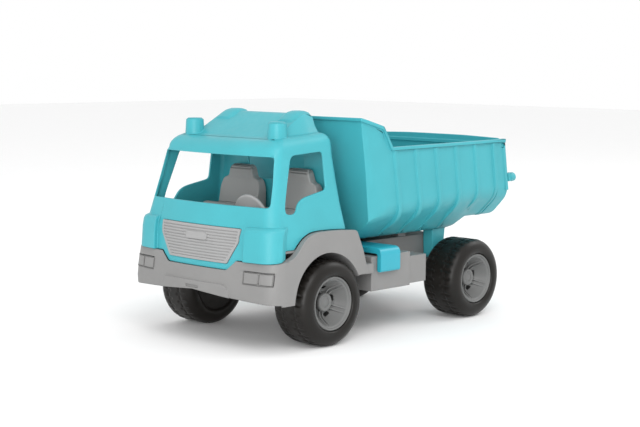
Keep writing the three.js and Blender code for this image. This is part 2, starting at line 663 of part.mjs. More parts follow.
for (const [side, label] of [[1, 'left'], [-1, 'right']]) {
  const [from, to] = side > 0 ? [57.4, 60.6] : [-60.6, -57.4];
  const cap = cut(
    rod('y', [PIVOT.x, PIVOT.z], 5, from, to, 16),
    rod('y', [PIVOT.x, PIVOT.z], PIVOT.radius + 0.15, side > 0 ? 50 : -59.8, side > 0 ? 59.8 : -50, 16),
  );
  place(`pivot_cap_${label}`, cap, plastic(GREY));
}

const axles = [
  { name: 'front', x: FRONT_AXLE_X, bossStart: FRONT_FRAME_HALF_WIDTH + 0.6 },
  { name: 'rear', x: REAR_AXLE_X, bossStart: FRAME_HALF_WIDTH + 0.6 },
];
for (const { name, x, bossStart } of axles) {
  const axle = rod('y', [x, WHEEL_RADIUS], AXLE_RADIUS, -AXLE_HALF_LENGTH, AXLE_HALF_LENGTH, 20);
  place(`${name}_axle`, axle, steel());
  for (const [side, label] of [[1, 'left'], [-1, 'right']]) {
    const tag = `${name}_${label}`;
    const hub = cut(turned(hubProfile(bossStart)), hubWindows());
    place(`tyre_${tag}`, wheelPiece(turned(tyreProfile), x, side), plastic(RUBBER, 0.6));
    place(`hub_${tag}`, wheelPiece(hub, x, side), plastic(HUB_GREY));
    place(`push_nut_${tag}`, wheelPiece(turned(nutProfile, 12), x, side), steel());
    place(`hub_cap_${tag}`, wheelPiece(turned(capProfile, 20), x, side), plastic(HUB_GREY));
  }
}

SCREWS.forEach(([x, y, z, seat], i) => {
  const under = x > 150 ? 60.2 : z - GAP;
  const head = rod('z', [x, y], 3.4, under - 2.2, under, 12);
  place(`cab_screw_${i + 1}`, join(head, rod('z', [x, y], 1.5, under - 0.5, seat + 12, 10)), steel());
});

export default truck;
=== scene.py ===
"""Push along tipper truck: the looks of the moulded plastic toy, built around its CAD frame.

Shapes are laid out in millimetres in the part's own frame and scaled to metres as they are made.
"""

import math

import bmesh
import bpy
from mathutils import Matrix, Vector


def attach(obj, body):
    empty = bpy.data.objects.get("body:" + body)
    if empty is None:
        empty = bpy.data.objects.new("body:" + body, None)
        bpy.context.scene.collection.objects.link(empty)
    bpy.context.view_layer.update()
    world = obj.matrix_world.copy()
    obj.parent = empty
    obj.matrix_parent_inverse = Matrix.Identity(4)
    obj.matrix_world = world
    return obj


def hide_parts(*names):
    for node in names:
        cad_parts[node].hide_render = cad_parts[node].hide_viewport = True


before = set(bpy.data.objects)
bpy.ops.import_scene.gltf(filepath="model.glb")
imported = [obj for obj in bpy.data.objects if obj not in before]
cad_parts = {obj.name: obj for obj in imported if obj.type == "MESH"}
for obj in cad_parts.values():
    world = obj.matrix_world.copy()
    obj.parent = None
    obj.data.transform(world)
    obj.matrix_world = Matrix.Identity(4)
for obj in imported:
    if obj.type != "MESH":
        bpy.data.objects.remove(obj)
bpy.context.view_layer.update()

MM = 0.001


# ---------- sizes, in millimetres ----------
WALL = 2.4
WHEEL_RADIUS = 43.0
FRONT_AXLE_X = 108.0
REAR_AXLE_X = -122.0
ARCH_X, ARCH_Z, ARCH_RADIUS = 113.0, 46.0, 47.5
BELT_Z = 139.4
DECK_Z = 99.0
DECK_HALF_WIDTH = 96.4
BUMPER_TOP = 88.0
CAB_STEP_X = 166.0
CAB_REAR_X = 76.0
GAP = 0.3

RAIL_Z = 192.6
BED_LEAN = 0.155
BED_REAR = -180.0
BED_FRONT = 55.0
BED_HALF_WIDTH = 98.9
BED_FLOOR_Z = 94.3
PIVOT_X, PIVOT_Z = -115.7, 71.0
RIB_PITCH = 33.6
RIB_STATIONS = [10.5 - RIB_PITCH * i for i in range(6)]

FRAME_HALF = 42.4
FRONT_FRAME_HALF = 55.0
FRAME_TOP = 88.0


# ---------- mesh making ----------
def mesh_object(points, faces):
    """A closed mesh from points in millimetres, its faces turned outward."""
    mesh = bpy.data.meshes.new("part")
    mesh.from_pydata([Vector(p) * MM for p in points], [], faces)
    bm = bmesh.new()
    bm.from_mesh(mesh)
    bmesh.ops.remove_doubles(bm, verts=bm.verts, dist=1e-7)
    bmesh.ops.recalc_face_normals(bm, faces=bm.faces)
    bm.to_mesh(mesh)
    bm.free()
    obj = bpy.data.objects.new("part", mesh)
    bpy.context.scene.collection.objects.link(obj)
    return obj


def loft(rings, mirrored=False):
    """A solid through rings of equal length. Mirrored rings start and end at the rear centre, and their
    ends close with strips across."""
    count = len(rings[0])
    faces = []
    for r in range(len(rings) - 1):
        for i in range(count):
            a, b = r * count + i, r * count + (i + 1) % count
            faces.append((a, b, b + count, a + count))
    for start in (0, (len(rings) - 1) * count):
        if mirrored:
            for i in range(count // 2 - 1):
                strip = (start + i, start + i + 1, start + count - 2 - i, start + count - 1 - i)
                faces.append(strip)
            if count % 2:
                middle = start + count // 2
                faces.append((middle - 1, middle, middle + 1))
        else:
            faces.append(tuple(range(start, start + count)))
    return mesh_object([p for ring in rings for p in ring], faces)


def rounded(points, radii, steps=5):
    """A closed outline with each corner eased by a curve that starts a radius away from it."""
    if not hasattr(radii, "__len__"):
        radii = [radii] * len(points)
    outline = []
    for i, (corner, radius) in enumerate(zip(points, radii)):
        corner = Vector(corner)
        before, after = Vector(points[i - 1]), Vector(points[(i + 1) % len(points)])
        start = corner + (before - corner).normalized() * min(radius, 0.48 * (before - corner).length)
        end = corner + (after - corner).normalized() * min(radius, 0.48 * (after - corner).length)
        if radius <= 0:
            outline.append(corner)
            continue
        for k in range(steps + 1):
            t = k / steps
            outline.append(start * (1 - t) ** 2 + corner * 2 * t * (1 - t) + end * t**2)
    return outline


AXIS_PLACES = {
    "x": lambda u, v, w: (w, u, v),
    "y": lambda u, v, w: (u, w, v),
    "z": lambda u, v, w: (u, v, w),
}


def prism(points, axis, low, high, radii=0, steps=5):
    """An outline (y, z) along x, (x, z) along y, or (x, y) along z."""
    outline = rounded(points, radii, steps)
    place = AXIS_PLACES[axis]
    return loft([[place(u, v, w) for u, v in outline] for w in (low, high)])


def box(x0, x1, y0, y1, z0, z1):
    return prism([(x0, y0), (x1, y0), (x1, y1), (x0, y1)], "z", z0, z1)


def rod(axis, centre, radius, low, high, sides=48, far_radius=None):
    far_radius = radius if far_radius is None else far_radius
    place = AXIS_PLACES[axis]
    rings = []
    for w, r in ((low, radius), (high, far_radius)):
        angles = [2 * math.pi * k / sides for k in range(sides)]
        rings.append([place(centre[0] + r * math.cos(a), centre[1] + r * math.sin(a), w) for a in angles])
    return loft(rings)


def turned(profile, segments=96, wobble=None):
    """A body of revolution about the y axis through the origin, from a closed profile of (radius, y)."""
    points = []
    for k in range(segments):
        angle = 2 * math.pi * k / segments
        for j, (radius, y) in enumerate(profile):
            r = radius if wobble is None else radius - wobble(angle, y, radius)
            points.append((r * math.cos(angle), y, r * math.sin(angle)))
    count = len(profile)
    faces = []
    for k in range(segments):
        following = (k + 1) % segments
        for j in range(count):
            after = (j + 1) % count
            faces.append((k * count + j, k * count + after, following * count + after, following * count + j))
    return mesh_object(points, faces)


def combine(obj, tool, operation):
    modifier = obj.modifiers.new("combine", "BOOLEAN")
    modifier.operation = operation
    modifier.solver = "MANIFOLD"
    modifier.object = tool
    depsgraph = bpy.context.evaluated_depsgraph_get()
    result = bpy.data.meshes.new_from_object(obj.evaluated_get(depsgraph))
    obj.modifiers.remove(modifier)
    obj.data = result
    bpy.data.objects.remove(tool, do_unlink=True)
    return obj


def join(first, *others):
    for other in others:
        first = combine(first, other, "UNION")
    return first


def cut(first, *tools):
    for tool in tools:
        first = combine(first, tool, "DIFFERENCE")
    return first


def common(first, *tools):
    for tool in tools:
        first = combine(first, tool, "INTERSECT")
    return first


def transformed(obj, matrix):
    """The piece moved by a matrix whose translation is in millimetres."""
    moved = matrix.copy()
    moved.translation = moved.translation * MM
    obj.data.transform(moved)
    if matrix.determinant() < 0:
        obj.data.flip_normals()
    return obj


def copied(obj):
    twin = bpy.data.objects.new(obj.name, obj.data.copy())
    bpy.context.scene.collection.objects.link(twin)
    return twin


def mirrored_y(obj):
    return transformed(obj, Matrix.Diagonal((1, -1, 1, 1)))


def both_sides(make):
    """The pieces that make(1) and make(-1) give, left and right."""
    return [make(1), make(-1)]


def span(side, low, high):
    """The range low..high of |y| on one side, lowest first."""
    return (low, high) if side > 0 else (-high, -low)


def finish(obj, name, body, material, nodes=(), edge=0.7, segments=3, angle=33):
    """Names a piece, rounds its edges, and puts it on its body in place of the CAD nodes."""
    obj.name = name
    obj.data.name = name
    bm = bmesh.new()
    bm.from_mesh(obj.data)
    bmesh.ops.remove_doubles(bm, verts=bm.verts, dist=2e-5)
    bmesh.ops.dissolve_degenerate(bm, edges=bm.edges, dist=2e-5)
    bmesh.ops.dissolve_limit(bm, angle_limit=math.radians(0.02), verts=bm.verts, edges=bm.edges)
    for face in bm.faces:
        face.smooth = True
    bm.to_mesh(obj.data)
    bm.free()
    obj.data.materials.clear()
    obj.data.materials.append(material)
    if edge:
        bevel = obj.modifiers.new("rounded edges", "BEVEL")
        bevel.width = edge * MM
        bevel.segments = segments
        bevel.limit_method = "ANGLE"
        bevel.angle_limit = math.radians(angle)
        bevel.use_clamp_overlap = False
        bevel.miter_outer = "MITER_ARC"
    weighted = obj.modifiers.new("even shading", "WEIGHTED_NORMAL")
    weighted.mode = "FACE_AREA_WITH_ANGLE"
    weighted.weight = 60
    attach(obj, body)
    if nodes:
        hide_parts(*nodes)
    return obj


# ---------- materials ----------
def new_material(name, base, rough, grain=0.00006, grain_scale=1400.0, tone=0.04, spread=0.05, metallic=0.0,
    shine=0.35):
    """A moulded finish: the colour drifts a little, the gloss is uneven, and a fine grain lies over it."""
    material = bpy.data.materials.new(name)
    material.use_nodes = True
    nodes, links = material.node_tree.nodes, material.node_tree.links
    shader = nodes["Principled BSDF"]
    shader.inputs["Metallic"].default_value = metallic
    shader.inputs["Specular IOR Level"].default_value = shine
    place = nodes.new("ShaderNodeTexCoord")

    drift = nodes.new("ShaderNodeTexNoise")
    drift.inputs["Scale"].default_value = 22.0
    drift.inputs["Detail"].default_value = 3.0
    links.new(place.outputs["Object"], drift.inputs["Vector"])
    tint = nodes.new("ShaderNodeValToRGB")
    tint.color_ramp.elements[0].position = 0.3
    tint.color_ramp.elements[1].position = 0.7
    tint.color_ramp.elements[0].color = [max(0, c * (1 - tone)) for c in base] + [1]
    tint.color_ramp.elements[1].color = [min(1, c * (1 + tone)) for c in base] + [1]
    links.new(drift.outputs["Fac"], tint.inputs["Fac"])
    links.new(tint.outputs["Color"], shader.inputs["Base Color"])

    scuff = nodes.new("ShaderNodeTexNoise")
    scuff.inputs["Scale"].default_value = 160.0
    scuff.inputs["Detail"].default_value = 5.0
    links.new(place.outputs["Object"], scuff.inputs["Vector"])
    gloss = nodes.new("ShaderNodeMapRange")
    gloss.inputs["From Min"].default_value = 0.3
    gloss.inputs["From Max"].default_value = 0.7
    gloss.inputs["To Min"].default_value = rough - spread
    gloss.inputs["To Max"].default_value = rough + spread
    links.new(scuff.outputs["Fac"], gloss.inputs["Value"])
    links.new(gloss.outputs["Result"], shader.inputs["Roughness"])

    fine = nodes.new("ShaderNodeTexNoise")
    fine.inputs["Scale"].default_value = grain_scale
    fine.inputs["Detail"].default_value = 2.0
    links.new(place.outputs["Object"], fine.inputs["Vector"])
    bump = nodes.new("ShaderNodeBump")
    bump.inputs["Strength"].default_value = 0.35
    bump.inputs["Distance"].default_value = grain
    links.new(fine.outputs["Fac"], bump.inputs["Height"])
    links.new(bump.outputs["Normal"], shader.inputs["Normal"])
    return material


TURQUOISE = new_material("turquoise plastic", (0.050, 0.355, 0.405), 0.42)
BRIGHT_BLUE = new_material("bright blue plastic", (0.018, 0.33, 0.42), 0.34, shine=0.5)
GREY = new_material("grey plastic", (0.215, 0.213, 0.21), 0.46)
LIGHT_GREY = new_material("light grey plastic", (0.30, 0.30, 0.30), 0.44)
SEAT_GREY = new_material("seat grey plastic", (0.30, 0.295, 0.29), 0.5, tone=0.05)
HUB_GREY = new_material("hub grey plastic", (0.15, 0.152, 0.15), 0.4, tone=0.06)
TYRE = new_material("tyre plastic", (0.010, 0.0088, 0.0075), 0.36, shine=0.25, grain=0.0001,
    grain_scale=900.0, tone=0.15)
STEEL = new_material("zinc plated steel", (0.62, 0.62, 0.63), 0.34, tone=0.06, metallic=1.0)


# ---------- plan outlines that bow at the front ----------
def arc(x, y, radius, start, end, steps):
    angles = [math.radians(start + (end - start) * i / steps) for i in range(steps + 1)]
    return [(x + radius * math.cos(a), y + radius * math.sin(a)) for a in angles]


def plan_ring(front, rear, half, bow, corner, rear_corner, height, steps=8, across=10):
    """Counter-clockwise from the rear right, so that each point's mirror image is as far from the other
    end."""
    def bowed(y):
        return front - bow * y * y

    shoulder = half - corner
    corner_x = bowed(shoulder) - corner
    rear_right = arc(rear + rear_corner, rear_corner - half, rear_corner, 180, 270, 4)
    front_right = arc(corner_x, -shoulder, corner, -90, 0, steps)
    offsets = [-shoulder + 2 * shoulder * k / across for k in range(1, across)]
    middle = [(bowed(y), y) for y in offsets]
    half_outline = rear_right + front_right
    mirror = [(x, -y) for x, y in reversed(half_outline)]
    return [(x, y, height(x)) for x, y in half_outline + middle + mirror]


def level(z):
    return lambda x: z


# ---------- cab ----------
ROOF_EDGE = 12.0


def cab_volume(grow):
    def roof(drop):
        return lambda x: 208.8 - drop + grow - 0.00135 * max(0.0, x - 90) ** 2

    def ring(front, rear, half, corner, height):
        return plan_ring(
            front + grow, rear - grow, half + grow, 0.0011, max(corner + grow, 1), max(7 + grow, 1), height
        )

    rings = [
        ring(193.2, CAB_REAR_X - 1, 97, 16, level(74 - (20 if grow < 0 else grow))),
        ring(191.4, CAB_REAR_X, 96.4, 15, level(112)),
        ring(184.9, CAB_REAR_X + 2, 89.6, 13, level(BELT_Z)),
        ring(178.6, CAB_REAR_X + 4, 85.8, 12.4, level(162)),
        ring(172.0, CAB_REAR_X + 6, 82.0, 12, level(187.4)),
    ]
    for degrees in range(0, 91, 15):
        eased = 1 - math.cos(math.radians(degrees))
        drop = (ROOF_EDGE - 0.6) * (1 - math.sin(math.radians(degrees)))
        rings.append(ring(170 - 14 * eased, CAB_REAR_X + 6.5 + 5 * eased, 81.2 - 11.5 * eased, 12,
            roof(drop)))
    return loft(rings, mirrored=True)


WINDOW_OUTLINE = [
    (99.2, 191), (99.6, 153.6), (133, 147.5), (141, 142.5), (145.5, 133), (158.8, 133), (158.5, 141),
        (143.6, 188.5),
]


def deflector_volume(grow):
    """The raised air deflector on the roof, its flanks flared down to the roof's edges."""
    def station(x, top_half, top_z, base_half):
        top_z += grow
        low = 190
        flare = [(base_half + grow, low), (base_half + grow, top_z - 0.86 * (top_z - 199)),
                 (top_half + grow + 3.5, top_z - 0.35 * (top_z - 199)), (top_half + grow, top_z)]
        right = [(x, -y, z) for y, z in flare]
        left = [(x, y, z) for y, z in reversed(flare)]
        return right + left

    return loft([
        station(88 - grow, 57, 224.5, 70),
        station(99, 57.5, 227.6, 70),
        station(104, 58, 226.4, 70),
        station(112, 58.4, 221.8, 69),
        station(122, 58.8, 216.2, 68),
        station(135, 59, 209.2, 66.5),
        station(146, 59, 203, 65),
        station(156 + grow, 59, 196.6, 63),
    ])


def deflector_ear(side):
    """A low hump over the deflector's crest, eased at both ends."""
    rings = []
    for y, height in ((33, 0), (34.6, 2.2), (36.4, 3.6), (39, 4.4), (44, 4.7), (50, 4.5), (53.6, 3.6),
        (56, 1.8), (57.4, 0)):
        top = 225.6 + height
        outline = [(89, 212), (89, top - 2.4), (90.6, top - 0.8), (94, top - 0.1), (99, top), (104, top - 1),
                   (109, top - 3.4), (116, top - 8.4), (118, 212)]
        rings.append([(x, side * y, z) for x, z in outline])
    return loft(rings)


GRILLE = [(57.5, 119), (56, 106), (42, 84.5)]


def grille_outline(grow):
    (top, top_z), (side, side_z), (foot, foot_z) = GRILLE
    half = [(foot + grow, foot_z - grow), (side + grow, side_z), (top + grow, top_z + grow)]
    return [(-y, z) for y, z in reversed(half)] + half


def corner_column(side):
    """The air guide wrapped round a front corner, from the bumper up to where it fades out."""
    def ring(front, half, corner, z):
        return plan_ring(front, 150, half, 0.0011, corner, 2, level(z))

    wrap = loft([
        ring(197.8, 102.2, 21, BUMPER_TOP - 8),
        ring(196.0, 100.6, 20, 110),
        ring(194.8, 99.4, 19, 117.5),
        ring(193.4, 98.0, 18, 120.2),
        ring(190.6, 95.4, 16, 121.8),
    ], mirrored=True)
    plan = [(161, 88), (161, 95.6), (166, 97.8), (179, 103.4), (215, 112), (215, 65.5), (184, 65.5),
        (176, 84)]
    column = prism([(x, side * y) for x, y in plan], "z", BUMPER_TOP + GAP, 121.8)
    return cut(common(wrap, column), skirt_volume(-GAP))


def cab():
    outer = join(cab_volume(0), *both_sides(corner_column), deflector_volume(0))
    outer = join(outer, *both_sides(deflector_ear))
    for side in (1, -1):
        outer = join(outer, rod("z", (141, side * 60.5), 10.8, 190, 219.4, 48, 9.0))
        outer = join(outer, rod("z", (141, side * 60.5), 8.2, 210, 220.6, 48, 7.6))
    shell = cut(outer, cab_volume(-WALL), deflector_volume(-WALL))
    windscreen = [(-85, BELT_Z + 0.8), (85, BELT_Z + 0.8), (78.2, 187.8), (-78.2, 187.8)]
    rear_window = [(-41, 157), (41, 157), (41, 189), (-41, 189)]
    shell = cut(
        shell,
        prism(windscreen, "x", 150, 215, 4),
        prism(WINDOW_OUTLINE, "y", -115, 115, [5, 4, 7, 6, 5, 6, 12, 6]),
        prism(rear_window, "x", 60, 100, 5),
        prism(grille_outline(0.15), "x", 165, 215, 1.5),
        box(0, CAB_STEP_X, -120, 120, 30, DECK_Z + GAP),
        skirt_volume(-GAP),
    )
    return shell


def grille():
    face = common(cut(cab_volume(0.9), cab_volume(-1.9)), prism(grille_outline(0), "x", 165, 215, 1.5))
    pitch, slot = 2.9, 1.0
    slots = [box(150, 215, -60, 60, 86.6 + pitch * k, 86.6 + pitch * k + slot) for k in range(11)]
    grooves = common(join(slots[0], *slots[1:]), prism(grille_outline(-2.6), "x", 165, 215, 1.5))
    grooves = cut(grooves, cab_volume(0.1))
    badge = common(cut(cab_volume(2.0), cab_volume(-1)),
        prism([(-15, 105), (15, 105), (15, 112), (-15, 112)], "x", 165, 215, 3))
    return join(cut(face, grooves), badge)


# ---------- interior ----------
SEAT_X = 85.0
SEAT_Y = 41.3


def seat(side):
    """A bucket seat: cushion, bolstered back and a tapered headrest."""
    centre = side * SEAT_Y

    def across(points):
        return [(centre + y, z) for y, z in points]

    def from_back(points):
        return [(SEAT_X + x, z) for x, z in points]

    back_front = [(-29, 100), (29, 100), (29.5, 148), (26, 156.5), (18.8, 158.4), (15.6, 169.5), (13, 171.4),
                  (-13, 171.4), (-15.6, 169.5), (-18.8, 158.4), (-26, 156.5), (-29.5, 148)]
    back_side = from_back([
        (0, 100), (-0.2, 157), (0.6, 171.5), (7, 171.5), (9.8, 167), (9.4, 157), (15, 128), (15, 100),
    ])
    back = common(
        prism(across(back_front), "x", 75, 115, [0, 0, 5, 4, 3, 3, 3, 3, 3, 3, 4, 5], 8),
        prism(back_side, "y", centre - 40, centre + 40, [0, 2, 3, 3, 4, 3, 2, 0], 8),
    )
    cushion_side = from_back([(7, 100), (7, 128), (33, 132.8), (39.4, 130.4), (40, 100)])
    cushion = prism(cushion_side, "y", centre - 29, centre + 29, [0, 0, 5, 5, 0], 8)
    return join(back, cushion)


STEERING_PLACE = Vector((157.4, 41, 126.5))
STEERING_TILT = math.radians(12)
STEERING_RADIUS = 23.5


def on_steering_axis(obj):
    """A piece turned about +y is set on the steering column, its top towards the driver."""
    direction = Vector((-math.cos(STEERING_TILT), 0, math.sin(STEERING_TILT)))
    turn = Vector((0, 1, 0)).rotation_difference(direction).to_matrix().to_4x4()
    return transformed(obj, Matrix.Translation(STEERING_PLACE) @ turn)


def interior():
    tray = box(SEAT_X, 164, -80, 80, DECK_Z + GAP, DECK_Z + 2.8)
    dash_side = [(161, 100), (161, 122), (165, 127), (176, 129), (176, 124), (166.5, 121), (164, 100)]
    tray = join(tray, prism(dash_side, "y", -78, 78, [0, 3, 3, 0, 0, 0, 0]), seat(1), seat(-1))
    socket = on_steering_axis(turned([(3.4, -16), (6.2, -16), (6.2, -6), (3.4, -6)], 40))
    return join(tray, socket)


def steering_wheel():
    r = STEERING_RADIUS
    profile = [
        (0.01, -16), (3, -16), (3, -3), (r - 4, -1), (r - 1.6, -1.6), (r - 0.3, -0.6), (r, 0.7), (r - 0.5, 2),
        (r - 1.8, 2.6), (r - 3, 2.2), (r - 3.8, 1.1), (8, 0.5), (6.6, 1.4), (6, 2.3), (4.4, 2.7), (0.01, 2.7),
    ]
    return on_steering_axis(turned(profile, 72))


# ---------- chassis ----------
def skirt_volume(inset, front_inset=0.0):
    """The bumper and fenders as one bowed volume, its top edge stepping up over the wheels."""
    def ring(front, half, z):
        return plan_ring(
            front - inset - front_inset, 30, half - inset, 0.00093, 18 - inset, 2, level(z), steps=10,
                across=12
        )

    body = loft([
        ring(198.5, 105.5, 40),
        ring(199.5, 106, 58),
        ring(198.6, 105.6, 68),
        ring(196.9, 105.1, 80),
        ring(195.2, 104.6, 90),
        ring(192, 101.6, 120),
    ], mirrored=True)
    side = [
        (52, 30), (55.7 + inset, 68.5), (62.8 + inset, 94), (69.5 + inset * 1.4, 112.4 - inset),
        (96, 114.4 - inset), (122, 114.9 - inset), (134.5, 113.3 - inset), (145 - inset, 107.5 - inset),
        (156 - inset, 95.4 - inset), (165, 91 - inset), (180, BUMPER_TOP - inset),
            (215, BUMPER_TOP - inset), (215, 30),
    ]
    radii = [0, 3, 3, 4, 8, 10, 8, 8, 10, 8, 6, 0, 0]
    notch = [(-54.6, 96), (-54.2, 87.6), (-43.4, 78.3), (43.4, 78.3), (54.2, 87.6), (54.6, 96)]
    raised = [(y, z - max(inset, 0)) for y, z in notch[1:5]]
    notch = [notch[0], *raised, notch[5]]
    body = common(body, prism(side, "y", -125, 125, radii))
    return cut(body, prism(notch, "x", 150, 215, [0, 2, 3, 3, 2, 0]))


def bumper_grooves():
    """Thin outlines of the headlights and of their lamps, wrapped round both corners."""
    band = cut(skirt_volume(-1), skirt_volume(0.6, 1.4))
    low, high = 67.6, 79.6
    line = 0.6
    lines = []
    for side in (1, -1):
        rails = [(66, 100, z, z + line) for z in (low, high - line)]
        posts = [(y, y + line, low, high) for y in (66, 84.5, 99.2)]
        for inner, outer, z0, z1 in rails + posts:
            lines.append(box(178, 215, *span(side, inner, outer), z0, z1))
    return common(join(lines[0], *lines[1:]), band)


def bumper_panel():
    """The proud lower panel in the middle of the bumper, with a small slot in it."""
    outline = [(-51, 40), (51, 40), (51, 55), (45, 64.6), (-45, 64.6), (-51, 55)]
    panel = common(skirt_volume(0), prism(outline, "x", 170, 215, [0, 0, 4, 5, 5, 4]))
    slot = prism([(-9.5, 57.4), (9.5, 57.4), (9.5, 60), (-9.5, 60)], "x", 196.6, 215, 1.2)
    return cut(panel, slot)


def side_box(side, x0, x1, outer, bottom, top):
    block = box(x0, x1, *span(side, FRAME_HALF - WALL, outer), bottom, top)
    hollow = box(x0 + WALL, x1 - WALL, *span(side, FRAME_HALF, outer - WALL), bottom - 5, top - WALL)
    return cut(block, hollow)


def rear_frame():
    def profile(top, low):
        return [
            (57, 50 - low), (-103, 50 - low), (-112, 34 - low), (-132, 34 - low), (-140, 50 - low),
                (-160, 54 - low),
            (-160 + top, 75 - top), (-124 + top, 75 - top), (-124 + top, FRAME_TOP - top),
            (-8, FRAME_TOP - top), (-6 + top, 83.5 - top), (57, 83.5 - top),
        ]

    inside = FRAME_HALF - WALL
    channel = cut(
        prism(profile(0, 0), "y", -FRAME_HALF, FRAME_HALF), prism(profile(WALL, 20), "y", -inside, inside)
    )
    webs = [box(x - 1.1, x + 1.1, -inside - 1, inside + 1, 52, 86) for x in (-84, -40)]
    pads = both_sides(lambda side: box(-78, -66, *span(side, 30, 41), FRAME_TOP - 1, BED_FLOOR_Z - GAP))
    return join(channel, *webs, *pads)


def wheel_arch(side):
    inner, outer = span(side, FRONT_FRAME_HALF + 3, 104)
    shelf = span(side, FRONT_FRAME_HALF + 3, 96)
    reach = 0.55 * ARCH_RADIUS
    liner = join(
        rod("y", (ARCH_X, ARCH_Z), ARCH_RADIUS + WALL, inner, outer, 96),
        box(ARCH_X - reach, ARCH_X + reach, *shelf, ARCH_Z + 0.8 * ARCH_RADIUS, DECK_Z - 1),
    )
    return cut(
        liner,
        rod("y", (ARCH_X, ARCH_Z), ARCH_RADIUS, inner - 5, outer + 5, 96),
        box(0, 200, -120, 120, -60, 66),
    )


def chassis():
    skirt = join(skirt_volume(0, 1.8), bumper_panel())
    ledge = DECK_HALF_WIDTH + GAP
    skirt = cut(skirt, bumper_grooves(), skirt_volume(2.6), box(20, CAB_STEP_X, -ledge, ledge, 90, 130))
    centre = (ARCH_X, ARCH_Z)
    skirt = cut(
        skirt,
        *both_sides(lambda side: rod("y", centre, ARCH_RADIUS, *span(side, 62, 125), 96)),
        prism([(40, 20), (178, 20), (178, 47.5), (40, 47.5)], "y", -125, 125),
        prism([(-130, 20), (130, 20), (130, 47), (100, 49.5), (52, 52), (0, 56), (-52, 52), (-100, 49.5),
            (-130, 47)],
              "x", 177, 215),
        box(0, 82, -130, 130, 0, 67.2),
    )
    half = FRONT_FRAME_HALF
    front_profile = [(54, 50), (92, 50), (98, 34), (118, 34), (124, 50), (168, 50), (168, 98), (54, 98)]
    front_inside = [(56.5, 20), (165.6, 20), (165.6, 96.5), (56.5, 96.5)]
    front = cut(prism(front_profile, "y", -half, half), prism(front_inside, "y", -half + WALL, half - WALL))
    body = join(
        skirt,
        box(60.5, 168, -DECK_HALF_WIDTH, DECK_HALF_WIDTH, 96.5, DECK_Z),
        front,
        box(166, 189, -74, 74, 56.5, 59),
        *both_sides(wheel_arch),
        box(41, 57, -58, 58, 50, 83.5),
        rear_frame(),
    )
    for side in (1, -1):
        body = join(body, side_box(side, -20, 41.3, 96.8, 46, 81.8),
            side_box(side, -48.2, -19, 95.2, 47.5, 76.5))
        body = join(body, rod("z", (176, side * 62), 5.4, 58, 77.6, 32))
        body = join(body, box(43.5, 55.5, *span(side, 40, 102), 66, 76))
    lug = [(-72, 79), (-70, 90), (-66, 92.2), (-63, 92.2), (-59, 90), (-57, 79)]
    body = join(body, *[prism(lug, "x", x, x + 3, 1.5) for x in (-0.4, 34.4)])
    body = cut(
        body,
        common(cab_volume(GAP), box(CAB_STEP_X - 0.5, 220, -120, 120, 73, 130)),
        common(cab_volume(GAP), box(40, CAB_STEP_X + 1, -120, 120, DECK_Z, 130)),
        box(43.5, 54.5, -39.5, 39.5, 30, 81),
        rod("y", (FRONT_AXLE_X, WHEEL_RADIUS), 3.3, -60, 60, 40),
        rod("y", (REAR_AXLE_X, WHEEL_RADIUS), 3.3, -60, 60, 40),
        rod("y", (PIVOT_X, PIVOT_Z), 2.8, -60, 60, 32),
        rod("x", (-64.5, 87.6), 2.3, -6, 44, 32),
    )
    for x, y, low in ((176, 62, 50), (176, -62, 50), (82, 86, 90), (82, -86, 90)):
        body = cut(body, rod("z", (x, y), 1.9, low, 130, 24))
    return cut(body, *[rod("z", (176, y), 3.9, 50, 60.5, 32) for y in (62, -62)])


# ---------- dump bed ----------
def lean(obj):
    """An upright bed piece is sheared forward with height, about the rail."""
    shear = Matrix.Identity(4)
    shear[0][2] = BED_LEAN
    shear.translation = Vector((-BED_LEAN * RAIL_Z, 0, 0))
    return transformed(obj, shear)


KNEE_RISE = 9.0  # how much higher the panels turn in than the ribs over them


def bed_section(x, half_top, half_mid, half_knee, knee, floor_half, floor, inset, top):
    side = [
        (half_top - inset, top), (half_mid - inset, 206), (half_knee - inset, knee + inset * 0.4),
        (floor_half - inset * 0.5, floor + inset),
    ]
    points = [(-y, z) for y, z in side] + list(reversed(side))
    outline = rounded(points, [0, 12, 11, 9, 9, 11, 12, 0], 5)
    return [(x, y, z) for y, z in outline]


def bed_tub(inset, top):
    rise = KNEE_RISE
    full = BED_HALF_WIDTH
    stations = [
        (BED_REAR, 98.3, 98.3, 98.3, 128 + rise * 0.4, 72, 106),
        (-138, 98.7, 98.7, 98.7, 126 + rise * 0.8, 67.6, 105.4),
        (-132, full, full, full, 125.6 + rise, 65, 102),
        (-119, full, full, full, 124.8 + rise, 62.8, 95.4),
        (-112, full, full, full, 124.5 + rise, 62.4, BED_FLOOR_Z),
        (26, full, full, full, 118 + rise * 0.7, 62.4, BED_FLOOR_Z),
        (46, full, 98.6, 98.4, 117.4 + rise * 0.4, 62.4, BED_FLOOR_Z),
        (BED_FRONT, 96.8, 96.8, 96.2, 117, 60, 96.5),
    ]
    rings = []
    for i, (x, *sizes) in enumerate(stations):
        last = i == len(stations) - 1
        place = x - inset if last else x - (10 if i == 0 and inset > 0 else 0)
        rings.append(bed_section(place, *sizes, inset, top))
    return loft(rings)


FACET_TOP = 207.0


def front_facet(side, depth):
    """What lies beyond the flat facet on the tub's front corner, which widens downward from the
    headboard's top."""
    along = Vector((19, -5)).normalized()
    outward = Vector((5, 19)).normalized()
    rings = []
    for z in (60, FACET_TOP):
        share = (FACET_TOP - z) / (FACET_TOP - 121)
        on_side = Vector((BED_FRONT - 19 * share, 98.9)) - outward * depth
        triangle = (on_side - along * 30, on_side + along * 70, on_side + outward * 60)
        rings.append([(x, side * y, z) for x, y in triangle])
    return loft(rings)


